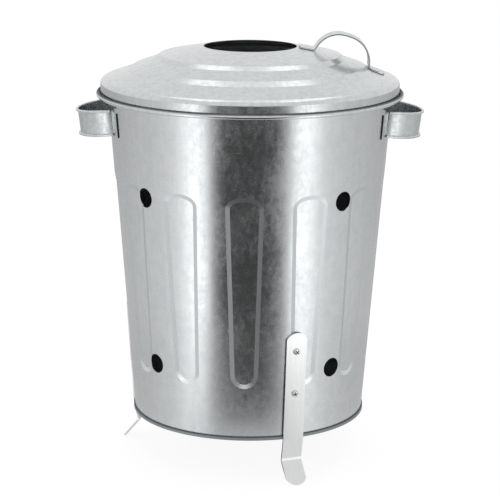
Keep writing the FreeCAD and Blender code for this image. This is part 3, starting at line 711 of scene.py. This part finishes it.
def pan_head_screw(length):
    """Screw along Z: the seat of the head at the origin, the shank downwards."""
    head = turned_bar(HEAD_DIAMETER, 0, HEAD_HEIGHT)
    pick(head, lambda place: place.z > HEAD_HEIGHT / 2)
    bpy.ops.mesh.bevel(offset=HEAD_ROUND, segments=HEAD_STEPS, affect="EDGES")
    bpy.ops.object.mode_set(mode="OBJECT")
    for turn in (0, math.pi / 2):
        cut_bar(head, turn)
    head.data.materials.append(screw_zinc)
    head.data.materials.append(recess_shade)
    # The faces of the cross recess take the painted shade.
    for face in head.data.polygons:
        if face.center.xy.length < recess_reach and MERGE < face.center.z < recess_top:
            face.material_index = 1
    shank = turned_bar(SHANK_DIAMETER, -length, 0)
    pick(shank, lambda place: place.z < -length / 2)
    bpy.ops.mesh.bevel(offset=SHANK_CHAMFER, segments=1, affect="EDGES")
    bpy.ops.object.mode_set(mode="OBJECT")
    only(head)
    shank.select_set(True)
    bpy.ops.object.join()
    return head


print("screw head in mm:", round(HEAD_DIAMETER / MM, 1), "by", round(HEAD_HEIGHT / MM, 1))

# %% [markdown]
# ## Places of the screws
# The screws stand square to a leaning wall, and their places could be worked out from the wall's cone.
# It is safer to measure them. The corners of each CAD screw spread along its axis and in two directions
# across it, and the one that points most away from the bin is the axis. Each new screw is laid on that
# axis, with its recess turned as it came tight.

# %% Place the screws
SCREW_SHARP = math.radians(30)
SCREW_TURNS = {"front_leg_screws": (35, 70), "left_leg_screws": (10, 55), "right_leg_screws": (80, 25)}


def measured_axis(points):
    """Middle, outward direction and both ends along it of a turned solid, from its corners."""
    middle = points.mean(axis=0)
    ways = np.linalg.eigh(np.cov((points - middle).T))[1].T
    radial = np.array((middle[0], middle[1], 0))
    way = max(ways, key=lambda candidate: abs(candidate @ radial))
    way = way * np.sign(way @ radial)
    reach = (points - middle) @ way
    return Vector(middle), Vector(way), reach.min(), reach.max()


def leg_screws(node_name, turns):
    """The two screws of a leg, the lower one first, each with its own turn of the recess."""
    corners = np.array([vertex.co for vertex in nodes[node_name].data.vertices]).round(7)
    corners = np.unique(corners, axis=0)
    split = (corners[:, 2].min() + corners[:, 2].max()) / 2
    lower = corners[corners[:, 2] < split]
    upper_one = corners[corners[:, 2] > split]
    made = []
    for points, turn in zip((lower, upper_one), turns):
        middle, way, tail, top = measured_axis(points)
        piece = pan_head_screw(top - tail - HEAD_HEIGHT)
        stand = Vector((0, 0, 1)).rotation_difference(way).to_matrix().to_4x4()
        seat = Matrix.Translation(middle + way * (top - HEAD_HEIGHT))
        piece.data.transform(seat @ stand @ Matrix.Rotation(math.radians(turn), 4, "Z"))
        made.append(piece)
    only(made[0])
    made[1].select_set(True)
    bpy.ops.object.join()
    bpy.ops.object.shade_smooth_by_angle(angle=SCREW_SHARP)
    made[0].name = node_name + "_cross"
    stands_for(made[0], node_name)
    return made[0]


screws = [leg_screws(node_name, turns) for node_name, turns in SCREW_TURNS.items()]
print("screws:", [(piece.name, len(piece.data.polygons)) for piece in screws])

# %% [markdown]
# ## Studio
# Polished metal is lit by what it reflects. The bin stands on matt white paper in a white tent. The
# paper could simply be lit until it clips, but then the metal would burn out too. Instead most of its
# white is a glow that only the camera sees, and the rest is left to light and shadow.

# %% Floor and tent
FLOOR_SIZE = 24.0
FLOOR_WHITE = "#F0F0F0"
FLOOR_LIFT = 0.88
FLOOR_GLOW = 1.04
TENT_LIGHT = 0.92
bpy.ops.object.select_all(action="DESELECT")
bpy.ops.mesh.primitive_plane_add(size=FLOOR_SIZE)
floor = bpy.context.object
floor.name = "floor"
# Matt white paper: white to the camera, with a faint shadow of the bin.
floor_paint = new_material("matt_white_floor")
floor_tree = floor_paint.node_tree
rays = add_node(floor_tree, "ShaderNodeLightPath")
lift = add_node(floor_tree, "ShaderNodeMath", operation="MULTIPLY", values={1: FLOOR_LIFT},
                links={0: rays.outputs["Is Camera Ray"]})
matt = add_node(floor_tree, "ShaderNodeBsdfDiffuse", values={"Color": linear(FLOOR_WHITE)})
glow = add_node(floor_tree, "ShaderNodeEmission",
                values={"Color": linear("#FFFFFF"), "Strength": FLOOR_GLOW})
paper = add_node(floor_tree, "ShaderNodeMixShader",
                 links={0: lift.outputs["Value"], 1: matt.outputs["BSDF"], 2: glow.outputs["Emission"]})
add_node(floor_tree, "ShaderNodeOutputMaterial", links={"Surface": paper.outputs["Shader"]})
floor.data.materials.append(floor_paint)

world = bpy.data.worlds.new("white_tent")
world.use_nodes = True
background = world.node_tree.nodes["Background"]
background.inputs["Color"].default_value = linear("#FFFFFF")
background.inputs["Strength"].default_value = TENT_LIGHT
bpy.context.scene.world = world
print("tent light:", TENT_LIGHT)

# %% [markdown]
# ## Round board on the floor
# The wall leans in towards its base, so from this camera it mirrors the floor around the bin, at twice
# the angle that the wall turns away. A photographer darkens the floor in front and lays bright boards
# beside it. Several planes could stand for these, but their edges would show as steps in the metal.
# Here one round board does it all: its light is set by the angle round from the camera and by the
# distance from the bin, and it is seen only in reflections.

# %% Round board
BOARD_RADIUS = 7.0
BOARD_SIDES = 96
BOARD_RAISE = 2 * MM
bpy.ops.object.select_all(action="DESELECT")
bpy.ops.mesh.primitive_circle_add(vertices=BOARD_SIDES, radius=BOARD_RADIUS, fill_type="NGON",
                                  location=(0, 0, BOARD_RAISE))
bpy.ops.object.transform_apply()
board = bpy.context.object
board.name = "round_board"
# Lit board: a dark strip in front of the bin between two bright sides.
board_light = new_material("round_board_light")
board_tree = board_light.node_tree
board_place = add_node(board_tree, "ShaderNodeTexCoord").outputs["Object"]
board_axes = add_node(board_tree, "ShaderNodeSeparateXYZ", links={"Vector": board_place})
board_aside = add_node(board_tree, "ShaderNodeMath", operation="ABSOLUTE",
                       links={0: board_axes.outputs["X"]})
ahead = add_node(board_tree, "ShaderNodeMath", operation="MULTIPLY", values={1: -1},
                 links={0: board_axes.outputs["Y"]})
angle_round = add_node(board_tree, "ShaderNodeMath", operation="ARCTAN2",
                       links={0: board_aside.outputs["Value"], 1: ahead.outputs["Value"]})
turn_share = add_node(board_tree, "ShaderNodeMath", operation="DIVIDE", values={1: math.pi},
                      links={0: angle_round.outputs["Value"]})
distance = add_node(board_tree, "ShaderNodeVectorMath", operation="LENGTH", links={0: board_place})
print("round board in m:", 2 * BOARD_RADIUS)

# %% Rings of light
BOARD_PEAK = 1.8
HALF_TURN = 180
# Stops of each ring: degrees round from the camera, and the light there.
under_light = ((0, 0.05), (180, 0.05))
skirt_light = ((0, 0.95), (90, 0.80), (180, 0.70))
near_light = ((0, 0.60), (20, 0.58), (36, 1.00), (48, 1.00), (62, 0.80), (90, 0.66), (140, 0.55),
              (180, 0.57))
middle_light = ((0, 0.08), (10, 0.11), (18, 0.24), (27, 0.46), (33, 0.92), (40, 1.16), (50, 1.12),
                (62, 0.85), (90, 0.67), (140, 0.55), (180, 0.57))
far_light = ((0, 0.06), (20, 0.08), (25, 0.22), (30, 0.55), (34, 1.30), (38, 1.8), (46, 1.8), (60, 1.0),
             (80, 0.82), (100, 0.76), (120, 0.67), (145, 0.60), (180, 0.62))
# Each outer ring's light, and the distances in metres between which it takes over.
outer_rings = ((skirt_light, 0.11, 0.15), (near_light, 0.205, 0.235), (middle_light, 0.24, 0.33),
               (far_light, 0.36, 0.70))


def graded_light(tree, along, stops, end, peak):
    """Light along a share from 0 to 1: stops of place and light, up to an end and a peak."""
    ramp = add_node(tree, "ShaderNodeValToRGB", links={"Fac": along})
    while len(ramp.color_ramp.elements) < len(stops):
        ramp.color_ramp.elements.new(1.0)
    for element, (place, light) in zip(ramp.color_ramp.elements, stops):
        element.position = place / end
        element.color = [light / peak] * 3 + [1]
    return ramp.outputs["Color"]


ring_light = graded_light(board_tree, turn_share.outputs["Value"], under_light, HALF_TURN, BOARD_PEAK)
for stops, start, end in outer_rings:
    past = add_node(board_tree, "ShaderNodeMapRange", interpolation_type="SMOOTHSTEP",
                    links={"Value": distance.outputs["Value"]}, values={"From Min": start, "From Max": end})
    outer_light = graded_light(board_tree, turn_share.outputs["Value"], stops, HALF_TURN, BOARD_PEAK)
    ring = add_node(board_tree, "ShaderNodeMix", data_type="RGBA",
                    links={"Factor": past.outputs["Result"], "A": ring_light, "B": outer_light})
    ring_light = ring.outputs["Result"]
print("rings on the board:", 1 + len(outer_rings))

# %% Light the board
FAR_FALL = 0.85
FALL_START = 0.8
FALL_END = 2.5


def only_mirrored(piece):
    """Let a stage piece be seen only in reflections, with no light on matt surfaces and no shadow."""
    piece.visible_camera = False
    piece.visible_diffuse = False
    piece.visible_shadow = False


strength = add_node(board_tree, "ShaderNodeMapRange", links={"Value": distance.outputs["Value"]},
                    values={"From Min": FALL_START, "From Max": FALL_END,
                            "To Min": BOARD_PEAK, "To Max": BOARD_PEAK * FAR_FALL})
board_emit = add_node(board_tree, "ShaderNodeEmission",
                      links={"Color": ring_light, "Strength": strength.outputs["Result"]})
add_node(board_tree, "ShaderNodeOutputMaterial", links={"Surface": board_emit.outputs["Emission"]})
board.data.materials.append(board_light)
only_mirrored(board)
print("board light up to", BOARD_PEAK)

# %% [markdown]
# ## Graded card overhead
# The steps of the lid face up and forwards, so they mirror what hangs above the bin. In the picture they
# carry a bright streak on each side of the middle. Two lamps would give hard-edged streaks. A card whose
# light rises and falls across its width gives soft ones, and the tent does the rest.

# %% Graded card overhead
OVERHEAD_BACK = 0.05
OVERHEAD_HEIGHT = 2.1
CARD_SIZE = (2.4, 1.5)
CARD_PEAK = 1.7
CARD_REACH = 1.2
card_stops = ((0, 1.08), (0.2, 1.12), (0.42, 1.50), (0.62, 1.7), (0.78, 1.55), (1.0, 1.05), (1.2, 0.92))
bpy.ops.object.select_all(action="DESELECT")
bpy.ops.mesh.primitive_plane_add(size=1, location=(0, OVERHEAD_BACK, OVERHEAD_HEIGHT))
card = bpy.context.object
card.scale = (*CARD_SIZE, 1)
bpy.ops.object.transform_apply()
card.name = "overhead_card"
# Lit card: two soft bright bands with a dimmer middle.
card_paint = new_material("overhead_card_light")
card_tree = card_paint.node_tree
card_place = add_node(card_tree, "ShaderNodeTexCoord").outputs["Object"]
card_axes = add_node(card_tree, "ShaderNodeSeparateXYZ", links={"Vector": card_place})
card_aside = add_node(card_tree, "ShaderNodeMath", operation="ABSOLUTE", links={0: card_axes.outputs["X"]})
card_share = add_node(card_tree, "ShaderNodeMath", operation="DIVIDE", values={1: CARD_REACH},
                      links={0: card_aside.outputs["Value"]})
card_light = graded_light(card_tree, card_share.outputs["Value"], card_stops, CARD_REACH, CARD_PEAK)
card_emit = add_node(card_tree, "ShaderNodeEmission", values={"Strength": CARD_PEAK},
                     links={"Color": card_light})
add_node(card_tree, "ShaderNodeOutputMaterial", links={"Surface": card_emit.outputs["Emission"]})
card.data.materials.append(card_paint)
only_mirrored(card)
print("overhead card in m:", CARD_SIZE)

# %% [markdown]
# ## Soft boxes
# Matt surfaces need light of their own, and the floor needs a shadow under the bin. The tent alone gives
# hardly any, so two soft boxes hang over the bin. Metal would mirror them as hard rectangles, so they
# are left out of its reflections.

# %% Soft boxes overhead
SOFT_BOX = (0.5, 1.0)
SOFT_BOX_LIGHT = 2.2
SOFT_BOX_ASIDE = 0.40
for side in (-1, 1):
    soft_box = bpy.data.lights.new("soft_box", "AREA")
    soft_box.shape = "RECTANGLE"
    soft_box.size, soft_box.size_y = SOFT_BOX
    soft_box.energy = SOFT_BOX_LIGHT * math.pi * SOFT_BOX[0] * SOFT_BOX[1]
    overhead = bpy.data.objects.new("soft_box", soft_box)
    overhead.location = (side * SOFT_BOX_ASIDE, OVERHEAD_BACK, OVERHEAD_HEIGHT)
    overhead.visible_glossy = False
    bpy.context.scene.collection.objects.link(overhead)
bpy.context.scene.view_settings.view_transform = "Standard"
print("soft boxes in m:", SOFT_BOX)
